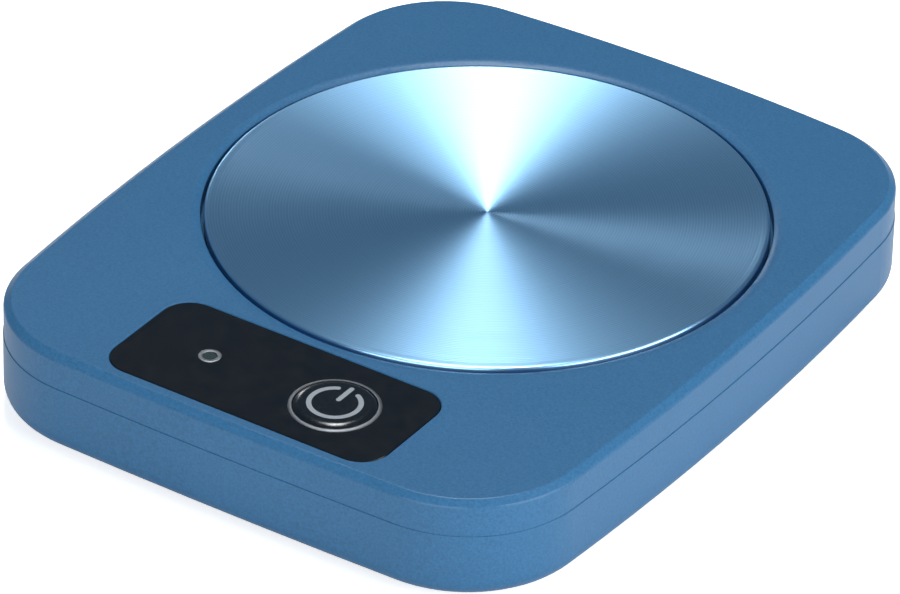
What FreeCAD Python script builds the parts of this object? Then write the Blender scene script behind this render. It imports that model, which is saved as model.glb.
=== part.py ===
import FreeCAD, Part
import os
from math import cos, hypot, pi, radians, sin, sqrt, tan

Vector = FreeCAD.Vector

# Electric mug warmer. Millimetres, Z up, the control side faces -Y, and the feet stand on z = 0.
# Each sub-part has one function, and all of them share the sizes below.

# Room round the plate's well and the control panel, which the case's width and depth follow
deck_side_margin = 7.3
deck_back_margin = 11.01
panel_front_margin = 3.05
panel_to_well = 2.24

# Case outline from above: four bowed sides, joined by round corners
corner_radius = 19.7
side_bow = 3.26
front_bow = 0.99
back_bow = 3.0

# Case heights and walls
foot_proud = 1.1
shell_height = 16.9
parting_drop = 5.8
wall = 2.0
deck_thickness = 2.4
floor_thickness = 2.0

# Case edges
top_edge_inset = 1.3
top_edge_drop = 0.9
top_edge_round = 0.5
bottom_edge_round = 2.95
parting_step = 0.12
parting_round = 0.1
tongue_thickness = 0.9
tongue_height = 1.4
tongue_clearance = 0.1

# Heating plate and its well
plate_radius = 43.1
plate_gap = 0.6
plate_proud = 0.05
plate_thickness = 2.0
plate_edge_round = 0.45
well_lip_width = 1.6
well_lip_drop = 0.42
well_lip_round = 0.15
well_wall = 1.9
gasket_thickness = 0.8
gasket_inset = 0.4
ledge_width = 4.5
ledge_thickness = 1.65

# Heater stack under the plate
film_gap = 1.0
film_thickness = 0.15
trace_thickness = 0.1
trace_width = 1.8
trace_pitch = 3.0
trace_margin = 1.2
trace_inner_radius = 12.0
trace_front_gap = 6.5
trace_back_gap = 0.8
pad_inner_x = 3.5
pad_width = 2.0
pad_length = 4.0
insulation_gap = 0.6
clamp_thickness = 0.8
clamp_overlap = 3.2

# Screws that hold the clamp plate to bosses under the heating plate
clamp_screw_inset = 3.4
clamp_screw_angles = (90.0, 210.0, 330.0)
clamp_boss_radius = 2.2
clamp_shank_radius = 1.2
clamp_shank_length = 2.6
clamp_head_radius = 2.3
clamp_head_height = 1.4
boss_hole_clearance = 0.3

# Thermal fuse in its slot, with the heater's terminals beside it
slot_inset = 5.5
slot_half_width = 1.9
slot_end_room = 1.7
terminal_width = 2.0
terminal_drop = 2.3
fuse_radius = 1.35
fuse_length = 8.0
fuse_wire_radius = 0.3
fuse_wire_length = 1.5
fuse_clip_width = 5.0
fuse_clip_reach = 4.0
fuse_clip_thickness = 0.4

# Temperature sensor at the middle of the plate
sensor_radius = 1.3
sensor_height = 2.4
sensor_round = 0.45
sensor_hole_radius = 2.3

# Control panel
panel_width = 48.5
panel_depth = 21.6
panel_corner = 4.65
panel_thickness = 1.2
panel_recess = 0.05
panel_gap = 0.1
panel_edge = 0.1
pocket_edge = 0.15
adhesive_thickness = 0.1
adhesive_margin = 1.2

# Power button in its trim ring
button_from_panel_end = 13.3
button_from_panel_middle = -0.3
button_travel = 0.3
ring_outer_radius = 6.94
ring_line = 0.56
ring_crest = 0.2
ring_rim = 0.06
ring_sleeve = 0.35
press_gap = 0.02
button_clearance = 0.12
cap_plateau_radius = 4.95
cap_plateau_height = 0.55
cap_skirt_height = 0.1
cap_top_thickness = 1.2
cap_side_wall = 1.1
cap_flange_reach = 1.3
cap_flange_thickness = 0.8
cap_flange_gap = 0.08
cap_stem_radius = 1.6
cap_hole_clearance = 0.25

# Power symbol inlaid in the cap
symbol_radius = 3.84
symbol_stroke = 0.78
symbol_gap_angle = 27.0
symbol_bar_start = 0.95
symbol_bar_end = 4.35
symbol_depth = 0.08
symbol_proud = 0.02

# Indicator
indicator_from_panel_end = 12.75
indicator_from_panel_middle = -0.1
indicator_ring_outer = 1.74
indicator_ring_line = 0.63
indicator_ring_proud = 0.09
indicator_ring_chamfer = 0.05
indicator_sleeve = 0.35
lens_recess = 0.08
lens_flange_radius = 2.1
lens_flange_thickness = 0.8
lens_foot_radius = 1.5
lens_to_led = 0.3
led_length = 2.0
led_width = 1.25
led_base_height = 0.4
led_dome_height = 0.35
led_dome_radius = 0.42

# Tactile switch under the button
switch_size = 6.0
switch_body_height = 3.1
switch_floor_height = 1.6
switch_cavity_radius = 2.3
switch_cover_thickness = 0.3
switch_skirt = 1.5
switch_hole_radius = 1.85
plunger_radius = 1.72
plunger_flange_radius = 2.1
plunger_top_height = 5.0
plunger_gap = 0.03
dome_rim_radius = 2.0
dome_flat_height = 0.15
dome_thickness = 0.12
dome_gap = 0.02
switch_leg_width = 0.7
switch_leg_thickness = 0.3
switch_leg_spread = 2.25
switch_leg_below = 0.8
switch_leg_above = 1.3
leg_hole_radius = 0.5

# Main board
board_standoff = 2.3
board_thickness = 1.6
board_half_width = 28.0
board_front_gap = 1.2
board_depth = 26.0
board_corner = 2.0
board_screw_inset = 3.4
board_boss_radius = 2.6
board_hole_radius = 1.1
board_shank_radius = 0.82
board_pilot_radius = 0.85
board_shank_length = 3.4
board_head_radius = 1.9
board_head_height = 1.3
pilot_floor = 1.2

# Parts on the main board, placed from its front edge and its middle
chip_size = (5.0, 4.0, 1.5)
chip_place = (-1.5, 8.0)
chip_leg_count = 4
chip_leg_pitch = 1.2
chip_leg_size = (0.4, 1.0, 0.25)
transistor_size = (6.6, 6.1, 2.3)
transistor_tab = (5.2, 1.2, 0.5)
transistor_place = (-19.5, 12.5)
regulator_size = (3.0, 1.7, 1.1)
regulator_place = (-19.0, 20.5)
can_radius = 3.15
can_height = 5.6
can_round = 0.5
can_base = (6.6, 6.6, 1.0)
can_place = (21.5, 13.5)
ceramic_size = (2.0, 1.25, 1.0)
ceramic_places = ((-6.0, 4.0), (-6.0, 12.5), (3.5, 4.0), (22.0, 7.5))
resistor_size = (1.6, 0.8, 0.5)
resistor_places = ((-14.5, 4.0), (-14.5, 6.0), (-10.5, 15.5), (-7.5, 15.5), (3.0, 14.5), (18.5, 4.0))

# Plugs and headers along the main board's back edge
header_depth = 6.0
header_height = 4.0
header_wall = 0.7
header_edge_gap = 0.5
header_socket_depth = 5.0
plug_clearance = 0.08
plug_proud = 2.0
pin_size = 0.5
pin_length = 3.5
pin_clearance = 0.05
heater_header_x = 6.5
sensor_header_x = -9.0
supply_header_inset = 9.5
power_pitch = 2.5
sensor_pitch = 1.8

# Leads inside the case
power_lead_radius = 0.8
sensor_lead_radius = 0.45
sensor_lead_drop = 1.6
corner_share = 0.45
lead_straight = 5.0
lead_floor_gap = 0.02
supply_drop_run = 12.95
supply_turn = 2.94
supply_swing = (6.0, 17.05)
supply_near_inlet = (1.5, 9.05)
board_lead_in = 2.5
lead_on_board = 2.6
joint_length = 2.4
joint_side = 0.4
joint_height = 1.35
clip_from_plug = 21.95
clip_thickness = 2.0
clip_side = 1.4
clip_over = 0.3

# Power inlet in the back wall
inlet_half_width = 10.0
inlet_depth = 11.8
inlet_back_gap = 1.8
inlet_screw_x = 7.6
inlet_screw_inset = 3.6
socket_half_width = 4.47
socket_half_height = 1.63
socket_wall = 0.3
socket_length = 7.3
socket_inset = 0.4
socket_hole_gap = 0.15
socket_hole_chamfer = 0.3
socket_block_length = 1.8
socket_tab = (1.0, 1.2, 0.3)
tongue_half_width = 3.35
tongue_half_height = 0.35
tongue_reach = 4.6
contact_count = 6
contact_pitch = 1.0
contact_width = 0.4
contact_thickness = 0.05
contact_length = 4.0
inlet_resistor_x = 6.6
inlet_resistor_inset = 8.2

# Screw heads, as shares of the head
screw_edge_share = 0.25
cross_reach_share = 0.6
cross_width_share = 0.25

# Case screws and feet near the corners, placed from the centre of each round corner
screw_reach = 9.5
foot_reach = 1.0
foot_radius = 5.4
foot_recess_depth = 0.9
foot_recess_gap = 0.1
foot_chamfer = 0.4
case_boss_radius = 4.6
case_boss_height = 5.4
counterbore_radius = 3.2
counterbore_depth = 4.4
case_hole_radius = 1.7
case_head_radius = 2.8
case_head_height = 2.0
case_shank_radius = 1.45
case_shank_length = 8.4
top_boss_radius = 3.2
top_boss_gap = 0.1
pilot_radius = 1.48
pilot_end_gap = 0.6

# Heights worked out from the sizes above
deck_z = foot_proud + shell_height
parting_z = deck_z - parting_drop
deck_under_z = deck_z - deck_thickness
floor_z = foot_proud + floor_thickness
panel_top_z = deck_z - panel_recess
panel_under_z = panel_top_z - panel_thickness
pocket_z = panel_under_z - adhesive_thickness
plate_top_z = deck_z + plate_proud
plate_under_z = plate_top_z - plate_thickness
ledge_top_z = plate_under_z - gasket_thickness
clamp_top_z = ledge_top_z - ledge_thickness
clamp_under_z = clamp_top_z - clamp_thickness
trace_top_z = plate_under_z - film_thickness
cover_top_z = trace_top_z - trace_thickness
stack_z = cover_top_z - film_thickness
board_z = floor_z + board_standoff
board_top_z = board_z + board_thickness
dome_height = button_travel + dome_flat_height
header_z = board_top_z + header_height / 2
plunger_top_z = board_top_z + plunger_top_height
switch_floor_z = board_top_z + switch_floor_height
switch_cover_z = board_top_z + switch_body_height
socket_z = board_top_z + socket_half_height
case_boss_z = floor_z + case_boss_height
screw_seat_z = foot_proud + counterbore_depth
lead_floor_z = floor_z + power_lead_radius + lead_floor_gap

# Case size and places on the deck, worked out from the sizes above
well_radius = plate_radius + plate_gap
case_width = 2 * (well_radius + deck_side_margin)
case_depth = panel_front_margin + panel_depth + panel_to_well + 2 * well_radius + deck_back_margin
plate_y = case_depth / 2 - deck_back_margin - well_radius
panel_y = -case_depth / 2 + panel_front_margin + panel_depth / 2
button_x = panel_width / 2 - button_from_panel_end
button_y = panel_y + button_from_panel_middle
indicator_x = indicator_from_panel_end - panel_width / 2
indicator_y = panel_y + indicator_from_panel_middle

# Radii and places worked out from the sizes above
well_outer_radius = well_radius + well_wall
ledge_radius = plate_radius - ledge_width
clamp_screw_circle = ledge_radius - clamp_screw_inset
film_radius = clamp_screw_circle - clamp_boss_radius - film_gap
insulation_radius = ledge_radius - insulation_gap
clamp_radius = ledge_radius + clamp_overlap
ring_bore = ring_outer_radius - ring_line
ring_sleeve_radius = ring_bore + ring_sleeve
cap_radius = ring_bore - button_clearance
cap_hole_radius = cap_radius + cap_hole_clearance
indicator_bore = indicator_ring_outer - indicator_ring_line
indicator_sleeve_radius = indicator_bore + indicator_sleeve
lens_radius = indicator_bore - press_gap
board_front_y = -case_depth / 2 + wall + board_front_gap
board_back_y = board_front_y + board_depth
header_back_y = board_back_y - header_edge_gap
plug_back_y = header_back_y + plug_proud
supply_header_x = board_half_width - supply_header_inset
slot_y = plate_y - film_radius + slot_inset
terminal_x = pad_inner_x + pad_width / 2
fuse_start_x = terminal_x + terminal_width / 2 + fuse_wire_length
fuse_end_x = fuse_start_x + fuse_length
fused_terminal_x = fuse_end_x + fuse_wire_length + terminal_width / 2
fuse_z = stack_z - fuse_radius
inlet_back_y = case_depth / 2 - wall - inlet_back_gap
inlet_front_y = inlet_back_y - inlet_depth
socket_mouth_y = case_depth / 2 - socket_inset
socket_back_y = socket_mouth_y - socket_length
inlet_screw_y = inlet_front_y + inlet_screw_inset


# Basic shapes

def cylinder(radius, low, high, x=0.0, y=0.0):
    return Part.makeCylinder(radius, high - low, Vector(x, y, low))


def ring(outer, inner, low, high, x=0.0, y=0.0):
    return cylinder(outer, low, high, x, y).cut(cylinder(inner, low, high, x, y))


def block(x_range, y_range, z_range):
    size = (x_range[1] - x_range[0], y_range[1] - y_range[0], z_range[1] - z_range[0])
    return Part.makeBox(size[0], size[1], size[2], Vector(x_range[0], y_range[0], z_range[0]))


def block_on(x, y, z, size):
    return block((x - size[0] / 2, x + size[0] / 2), (y - size[1] / 2, y + size[1] / 2), (z, z + size[2]))


def turned(profile, x=0.0, y=0.0):
    """Solid of revolution about the upright axis at x, y, from (radius, height) corners."""
    return turned_outline(turned_lines(profile + profile[:1], x, y), x, y)


def turned_lines(corners, x, y):
    """Straight edges between (radius, height) corners beside the upright axis at x, y."""
    points = [Vector(x + radius, y, height) for radius, height in corners]
    return [Part.LineSegment(start, end).toShape() for start, end in zip(points, points[1:])]


def turned_arc(start, middle, end, x, y):
    """A curved edge through three (radius, height) points beside the upright axis at x, y."""
    points = [Vector(x + radius, y, height) for radius, height in (start, middle, end)]
    return Part.Arc(points[0], points[1], points[2]).toShape()


def turned_outline(edges, x, y):
    """Solid of revolution about the upright axis at x, y, from the closed outline of its edges."""
    face = Part.Face(Part.Wire(edges))
    return face.revolve(Vector(x, y, 0), Vector(0, 0, 1), 360)


def rounded_block(width, depth, corner, z_range, x=0.0, y=0.0):
    solid = block((x - width / 2, x + width / 2), (y - depth / 2, y + depth / 2), z_range)
    upright = [edge for edge in solid.Edges if edge.BoundBox.ZLength > (z_range[1] - z_range[0]) / 2]
    return solid.makeFillet(corner, upright)


def edges_at(shape, height):
    tolerance = 1e-4
    found = []
    for edge in shape.Edges:
        box = edge.BoundBox
        if abs(box.ZMin - height) < tolerance and abs(box.ZMax - height) < tolerance:
            found.append(edge)
    return found


def joined(solids):
    return solids[0].multiFuse(solids[1:]).removeSplitter()


def group(solids):
    return Part.makeCompound(solids)


def save(name, shape):
    solids = shape.Solids
    if not solids or not shape.isValid():
        raise ValueError(f"{name} is not a valid solid")
    shape.exportStep(f"parts/{name}.step")
    box = shape.BoundBox
    print(f"{name}: {len(solids)} solids, {shape.Volume:.1f} mm3, z {box.ZMin:.2f} to {box.ZMax:.2f}")


# Case outline

def outline_arcs():
    """Centre, radius and chord ends of the four bowed sides, anticlockwise from the front."""
    half_width = case_width / 2 - side_bow
    front = -case_depth / 2 + front_bow
    back = case_depth / 2 - back_bow
    corners = [(-half_width, front), (half_width, front), (half_width, back), (-half_width, back)]
    bows = [front_bow, side_bow, back_bow, side_bow]
    arcs = []
    for index, bow in enumerate(bows):
        start = corners[index]
        end = corners[(index + 1) % len(corners)]
        length = hypot(end[0] - start[0], end[1] - start[1])
        radius = length ** 2 / (8 * bow) + bow / 2
        middle = ((start[0] + end[0]) / 2, (start[1] + end[1]) / 2)
        inward = (-(end[1] - start[1]) / length, (end[0] - start[0]) / length)
        centre = (middle[0] + inward[0] * (radius - bow), middle[1] + inward[1] * (radius - bow))
        arcs.append((centre, radius, end))
    return arcs


def corner_centre(first, second):
    """Centre of the round corner that touches two bowed sides from inside."""
    (ax, ay), first_radius, corner = first
    (bx, by), second_radius, _ = second
    reach_a = first_radius - corner_radius
    reach_b = second_radius - corner_radius
    apart = hypot(bx - ax, by - ay)
    along = (reach_a ** 2 - reach_b ** 2 + apart ** 2) / (2 * apart)
    across = sqrt(reach_a ** 2 - along ** 2)
    ux, uy = (bx - ax) / apart, (by - ay) / apart
    base_x, base_y = ax + ux * along, ay + uy * along
    options = [(base_x - uy * side * across, base_y + ux * side * across) for side in (-1, 1)]
    return min(options, key=lambda point: hypot(point[0] - corner[0], point[1] - corner[1]))


def corner_centres():
    """Centres of the round corners: front right, back right, back left, front left."""
    arcs = outline_arcs()
    return [corner_centre(arcs[index], arcs[(index + 1) % len(arcs)]) for index in range(len(arcs))]


def unit(dx, dy):
    length = hypot(dx, dy)
    return dx / length, dy / length


def outline(inset, height):
    """The case outline at a height, moved inwards by inset."""
    arcs = outline_arcs()
    centres = corner_centres()
    count = len(arcs)

    def touch(side, corner):
        (cx, cy), radius, _ = arcs[side]
        ux, uy = unit(centres[corner][0] - cx, centres[corner][1] - cy)
        return cx + ux * (radius - inset), cy + uy * (radius - inset), ux, uy

    edges = []
    for side in range(count):
        (cx, cy), radius, _ = arcs[side]
        start = touch(side, side - 1)
        end = touch(side, side)
        ux, uy = unit(start[2] + end[2], start[3] + end[3])
        middle = (cx + ux * (radius - inset), cy + uy * (radius - inset))
        edges.append(arc_through(start, middle, end, height))
        following = touch((side + 1) % count, side)
        ux, uy = unit(end[2] + following[2], end[3] + following[3])
        round_radius = corner_radius - inset
        middle = (centres[side][0] + ux * round_radius, centres[side][1] + uy * round_radius)
        edges.append(arc_through(end, middle, following, height))
    return Part.Wire(edges)


def arc_through(start, middle, end, height):
    points = [Vector(point[0], point[1], height) for point in (start, middle, end)]
    return Part.Arc(points[0], points[1], points[2]).toShape()


def case_prism(inset, low, high):
    return Part.Face(outline(inset, low)).extrude(Vector(0, 0, high - low))


def outward_from_corners(reach):
    """A point beyond each round corner's centre, along the case's diagonal."""
    places = []
    for x, y in corner_centres():
        share = reach / sqrt(2)
        places.append((x + (share if x > 0 else -share), y + (share if y > 0 else -share)))
    return places


screw_places = outward_from_corners(screw_reach)
foot_places = outward_from_corners(-foot_reach)
clamp_screw_places = [(clamp_screw_circle * cos(turn), plate_y + clamp_screw_circle * sin(turn))
                      for turn in map(radians, clamp_screw_angles)]
board_screw_places = [(side * (board_half_width - board_screw_inset), y) for side in (-1, 1)
                      for y in (board_front_y + board_screw_inset, board_back_y - board_screw_inset)]
inlet_screw_places = [(-inlet_screw_x, inlet_screw_y), (inlet_screw_x, inlet_screw_y)]


# Casing

def top_shell():
    slope_z = deck_z - top_edge_drop
    shell = case_prism(parting_step, parting_z, slope_z)
    slope = Part.makeLoft([outline(parting_step, slope_z), outline(top_edge_inset, deck_z)], True, True)
    shell = shell.fuse(slope).removeSplitter()
    top_edges = edges_at(shell, deck_z) + edges_at(shell, slope_z)
    shell = shell.makeFillet(top_edge_round, top_edges)
    shell = shell.cut(case_prism(wall, parting_z, deck_under_z))
    rebate_inset = wall - tongue_thickness - tongue_clearance
    shell = shell.cut(case_prism(rebate_inset, parting_z, parting_z + tongue_height + tongue_clearance))
    shell = shell.fuse(cylinder(well_outer_radius, clamp_top_z, deck_under_z, y=plate_y))
    shell = shell.cut(cylinder(ledge_radius, clamp_top_z, deck_z, y=plate_y))
    shell = shell.cut(cylinder(well_radius, ledge_top_z, deck_z, y=plate_y))
    shell = shell.cut(well_lip())
    rim = [edge for edge in edges_at(shell, deck_z - well_lip_drop) if is_circle(edge, well_radius)]
    shell = shell.makeFillet(well_lip_round, rim)
    shell = shell.cut(rounded_block(panel_width + 2 * panel_gap, panel_depth + 2 * panel_gap,
                                    panel_corner + panel_gap, (pocket_z, deck_z), y=panel_y))
    rim = [edge for edge in edges_at(shell, deck_z) if inside_pocket(edge.BoundBox)]
    shell = shell.makeChamfer(pocket_edge, rim)
    shell = shell.cut(cylinder(cap_hole_radius, deck_under_z, pocket_z, button_x, button_y))
    shell = shell.cut(cylinder(lens_radius + press_gap, deck_under_z, pocket_z, indicator_x, indicator_y))
    for x, y in screw_places:
        low = case_boss_z + top_boss_gap
        shell = shell.fuse(cylinder(top_boss_radius, low, deck_under_z, x, y))
        shank_end = screw_seat_z + case_shank_length
        shell = shell.cut(cylinder(pilot_radius, low, shank_end + pilot_end_gap, x, y))
    return shell


def well_lip():
    """The room above the deck's soft slope into the plate's well."""
    outer = well_radius + well_lip_width
    bend = (well_lip_width ** 2 + well_lip_drop ** 2) / (2 * well_lip_drop)
    half_width = well_lip_width / 2
    half_z = deck_z - bend + sqrt(bend ** 2 - half_width ** 2)
    low_z = deck_z - well_lip_drop
    high_z = deck_z + well_lip_drop
    slope = turned_arc((well_radius, low_z), (outer - half_width, half_z), (outer, deck_z), 0, plate_y)
    corners = [(outer, deck_z), (outer, high_z), (0, high_z), (0, low_z), (well_radius, low_z)]
    return turned_outline([slope] + turned_lines(corners, 0, plate_y), 0, plate_y)


def is_circle(edge, radius):
    tolerance = 1e-3
    return hasattr(edge.Curve, "Radius") and abs(edge.Curve.Radius - radius) < tolerance


def inside_pocket(box):
    reach_x = panel_width / 2 + 2 * panel_gap
    reach_y = panel_depth / 2 + 2 * panel_gap
    across = max(abs(box.XMin), abs(box.XMax)) < reach_x
    along = box.YMin > panel_y - reach_y and box.YMax < panel_y + reach_y
    return across and along


def base_shell():
    shell = case_prism(0, foot_proud, parting_z)
    shell = shell.makeFillet(bottom_edge_round, edges_at(shell, foot_proud))
    shell = shell.makeFillet(parting_round, edges_at(shell, parting_z))
    tongue = case_prism(wall - tongue_thickness, parting_z, parting_z + tongue_height)
    shell = shell.fuse(tongue)
    shell = shell.cut(case_prism(wall, floor_z, parting_z + tongue_height))
    for x, y in screw_places:
        shell = shell.fuse(cylinder(case_boss_radius, floor_z, case_boss_z, x, y))
        shell = shell.cut(cylinder(case_hole_radius, foot_proud, case_boss_z, x, y))
        shell = shell.cut(cylinder(counterbore_radius, foot_proud, screw_seat_z, x, y))
    for x, y in foot_places:
        recess = cylinder(foot_radius + foot_recess_gap, foot_proud, foot_proud + foot_recess_depth, x, y)
        shell = shell.cut(recess)
    for x, y in board_screw_places + inlet_screw_places:
        shell = shell.fuse(cylinder(board_boss_radius, floor_z, board_z, x, y))
        shell = shell.cut(cylinder(board_pilot_radius, foot_proud + pilot_floor, board_z, x, y))
    hole = obround(socket_half_width + socket_hole_gap, socket_half_height + socket_hole_gap,
                   case_depth / 2 - wall - tongue_clearance, case_depth / 2 + wall)
    shell = shell.cut(hole).cut(socket_flare())
    return shell.fuse(lead_clip()).removeSplitter()


def obround(half_width, half_height, front, back):
    """A bar along Y with round sides, at the height of the power inlet."""
    left = Part.makeCylinder(half_height, back - front, Vector(half_height - half_width, front, socket_z),
                             Vector(0, 1, 0))
    right = Part.makeCylinder(half_height, back - front, Vector(half_width - half_height, front, socket_z),
                              Vector(0, 1, 0))
    middle = block((half_height - half_width, half_width - half_height), (front, back),
                   (socket_z - half_height, socket_z + half_height))
    return joined([left, middle, right])


def obround_wire(half_width, half_height, y):
    flat = half_width - half_height
    top_left = Vector(-flat, y, socket_z + half_height)
    top_right = Vector(flat, y, socket_z + half_height)
    low_right = Vector(flat, y, socket_z - half_height)
    low_left = Vector(-flat, y, socket_z - half_height)
    right = Part.Arc(top_right, Vector(half_width, y, socket_z), low_right).toShape()
    left = Part.Arc(low_left, Vector(-half_width, y, socket_z), top_left).toShape()
    top = Part.LineSegment(top_left, top_right).toShape()
    low = Part.LineSegment(low_right, low_left).toShape()
    return Part.Wire([top, right, low, left])


def socket_flare():
    """The lead-in that widens the inlet's hole towards the outside of the back wall."""
    half_width = socket_half_width + socket_hole_gap
    half_height = socket_half_height + socket_hole_gap
    outside = case_depth / 2
    inner = obround_wire(half_width, half_height, outside - socket_hole_chamfer)
    wide = 2 * socket_hole_chamfer
    outer = obround_wire(half_width + wide, half_height + wide, outside + socket_hole_chamfer)
    return Part.makeLoft([inner, outer], True, True)


def lead_clip():
    """A notched post on the floor, which holds the two supply leads."""
    half = power_pitch / 2 + power_lead_radius + clip_side
    top = lead_floor_z + power_lead_radius + clip_over
    clip_y = plug_back_y + clip_from_plug
    y_range = (clip_y - clip_thickness / 2, clip_y + clip_thickness / 2)
    clip = block((supply_header_x - half, supply_header_x + half), y_range, (floor_z, top))
    notch = power_lead_radius + lead_floor_gap
    for x in supply_lead_offsets(supply_header_x):
        seat_start = Vector(x, y_range[0], lead_floor_z)
        seat = Part.makeCylinder(notch, clip_thickness, seat_start, Vector(0, 1, 0))
        mouth = block((x - notch, x + notch), y_range, (lead_floor_z, top))
        clip = clip.cut(seat).cut(mouth)
    return clip


def rubber_feet():
    feet = []
    for x, y in foot_places:
        foot = cylinder(foot_radius, 0, foot_proud + foot_recess_depth, x, y)
        feet.append(foot.makeChamfer(foot_chamfer, edges_at(foot, 0)))
    return group(feet)


def cross_recess(x, y, reach, width, low, high):
    along = block((x - reach, x + reach), (y - width / 2, y + width / 2), (low, high))
    across = block((x - width / 2, x + width / 2), (y - reach, y + reach), (low, high))
    return along.fuse(across)


def screw_up(x, y, seat, head_radius, head_height, shank_radius, shank_length):
    """A screw driven from below: the head hangs under the seat and the shank points up."""
    edge = head_height * screw_edge_share
    reach = head_radius * cross_reach_share
    width = head_radius * cross_width_share
    head = turned([(0, seat - head_height), (head_radius - edge, seat - head_height),
                   (head_radius, seat - head_height + edge), (head_radius, seat), (shank_radius, seat),
                   (shank_radius, seat + shank_length - shank_radius / 2),
                   (shank_radius / 2, seat + shank_length), (0, seat + shank_length)], x, y)
    recess = cross_recess(x, y, reach, width, seat - head_height, seat - head_height / 2)
    return head.cut(recess)


def screw_down(x, y, seat, head_radius, head_height, shank_radius, shank_length):
    screw = screw_up(0, 0, 0, head_radius, head_height, shank_radius, shank_length)
    screw.rotate(Vector(0, 0, 0), Vector(1, 0, 0), 180)
    screw.translate(Vector(x, y, seat))
    return screw


def case_screws():
    return group([screw_up(x, y, screw_seat_z, case_head_radius, case_head_height,
                           case_shank_radius, case_shank_length) for x, y in screw_places])


# Heating plate and the stack under it

def heating_plate():
    plate = cylinder(plate_radius, plate_under_z, plate_top_z, y=plate_y)
    plate = plate.makeFillet(plate_edge_round, edges_at(plate, plate_top_z))
    for x, y in clamp_screw_places:
        plate = plate.fuse(cylinder(clamp_boss_radius, clamp_top_z, plate_under_z, x, y))
        hole_end = clamp_top_z - clamp_thickness + clamp_shank_length + pilot_end_gap
        plate = plate.cut(cylinder(clamp_shank_radius + press_gap, clamp_top_z, hole_end, x, y))
    return plate


def plate_gasket():
    outer = plate_radius - gasket_inset
    inner = ledge_radius + gasket_inset
    return ring(outer, inner, ledge_top_z, plate_under_z, y=plate_y)


def heater_film():
    return cylinder(film_radius, trace_top_z, plate_under_z, y=plate_y)


def trace_radii():
    outer = film_radius - trace_margin - trace_width / 2
    pairs = int((outer - trace_inner_radius) / (2 * trace_pitch))
    return [outer - index * trace_pitch for index in range(2 * pairs)]


def heater_trace():
    """Two half discs of arcs, each joined to the next at its end, so that the track is unbroken."""
    radii = trace_radii()
    low, high = cover_top_z, trace_top_z
    far = film_radius + trace_pitch
    pieces = []
    for index, radius in enumerate(radii):
        arcs = ring(radius + trace_width / 2, radius - trace_width / 2, low, high, y=plate_y)
        arcs = arcs.cut(block((-trace_back_gap, trace_back_gap), (plate_y, plate_y + far), (low, high)))
        if index < len(radii) - 1:
            gap = pad_inner_x if index == 0 else trace_front_gap
            arcs = arcs.cut(block((-gap, gap), (plate_y - far, plate_y), (low, high)))
        pieces.append(arcs)
    for index in range(len(radii) - 1):
        outer, inner = radii[index], radii[index + 1]
        at_back = index % 2 == 0
        near = trace_back_gap if at_back else trace_front_gap
        side = near + trace_width / 2
        ends = [sqrt(radius ** 2 - side ** 2) for radius in (outer, inner)]
        y_range = (plate_y - ends[0], plate_y - ends[1])
        if at_back:
            y_range = (plate_y + ends[1], plate_y + ends[0])
        for x_range in ((near, near + trace_width), (-near - trace_width, -near)):
            pieces.append(block(x_range, y_range, (low, high)))
    pad_end = plate_y - sqrt(radii[0] ** 2 - terminal_x ** 2)
    for x_range in ((pad_inner_x, pad_inner_x + pad_width), (-pad_inner_x - pad_width, -pad_inner_x)):
        pieces.append(block(x_range, (pad_end, pad_end + pad_length), (low, high)))
    return joined(pieces)


def terminal_ranges():
    """The two terminals that stand on the trace's pads."""
    half = terminal_width / 2
    return [(x - half, x + half) for x in (-terminal_x, terminal_x)]


def heater_cover_film():
    film = cylinder(film_radius, stack_z, cover_top_z, y=plate_y)
    half = terminal_width / 2
    for x_range in terminal_ranges():
        film = film.cut(block(x_range, (slot_y - half, slot_y + half), (stack_z, cover_top_z)))
    return film


def heater_terminals():
    half = terminal_width / 2
    y_range = (slot_y - half, slot_y + half)
    low = stack_z - terminal_drop
    tabs = [block(x_range, y_range, (low, cover_top_z)) for x_range in terminal_ranges()]
    tabs.append(block((fused_terminal_x - half, fused_terminal_x + half), y_range, (low, stack_z)))
    return group(tabs)


def fuse_slot(low, high):
    start = -terminal_x - slot_end_room
    end = fused_terminal_x + slot_end_room
    return block((start, end), (slot_y - slot_half_width, slot_y + slot_half_width), (low, high))


def insulation_pad():
    pad = cylinder(insulation_radius, clamp_top_z, stack_z, y=plate_y)
    pad = pad.cut(fuse_slot(clamp_top_z, stack_z))
    pad = pad.cut(cylinder(sensor_hole_radius, clamp_top_z, stack_z, y=plate_y))
    for x, y in clamp_screw_places:
        pad = pad.cut(cylinder(clamp_boss_radius + boss_hole_clearance, clamp_top_z, stack_z, x, y))
    return pad


def clamp_plate():
    plate = cylinder(clamp_radius, clamp_under_z, clamp_top_z, y=plate_y)
    plate = plate.cut(fuse_slot(clamp_under_z, clamp_top_z))
    plate = plate.cut(cylinder(sensor_hole_radius, clamp_under_z, clamp_top_z, y=plate_y))
    for x, y in clamp_screw_places:
        plate = plate.cut(cylinder(clamp_shank_radius + press_gap, clamp_under_z, clamp_top_z, x, y))
    return plate


def clamp_screws():
    return group([screw_up(x, y, clamp_under_z, clamp_head_radius, clamp_head_height,
                           clamp_shank_radius, clamp_shank_length) for x, y in clamp_screw_places])


def thermal_fuse():
    body = Part.makeCylinder(fuse_radius, fuse_length, Vector(fuse_start_x, slot_y, fuse_z), Vector(1, 0, 0))
    start = fuse_start_x - fuse_wire_length
    length = fuse_length + 2 * fuse_wire_length
    wire = Part.makeCylinder(fuse_wire_radius, length, Vector(start, slot_y, fuse_z), Vector(1, 0, 0))
    return body.fuse(wire)


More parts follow.
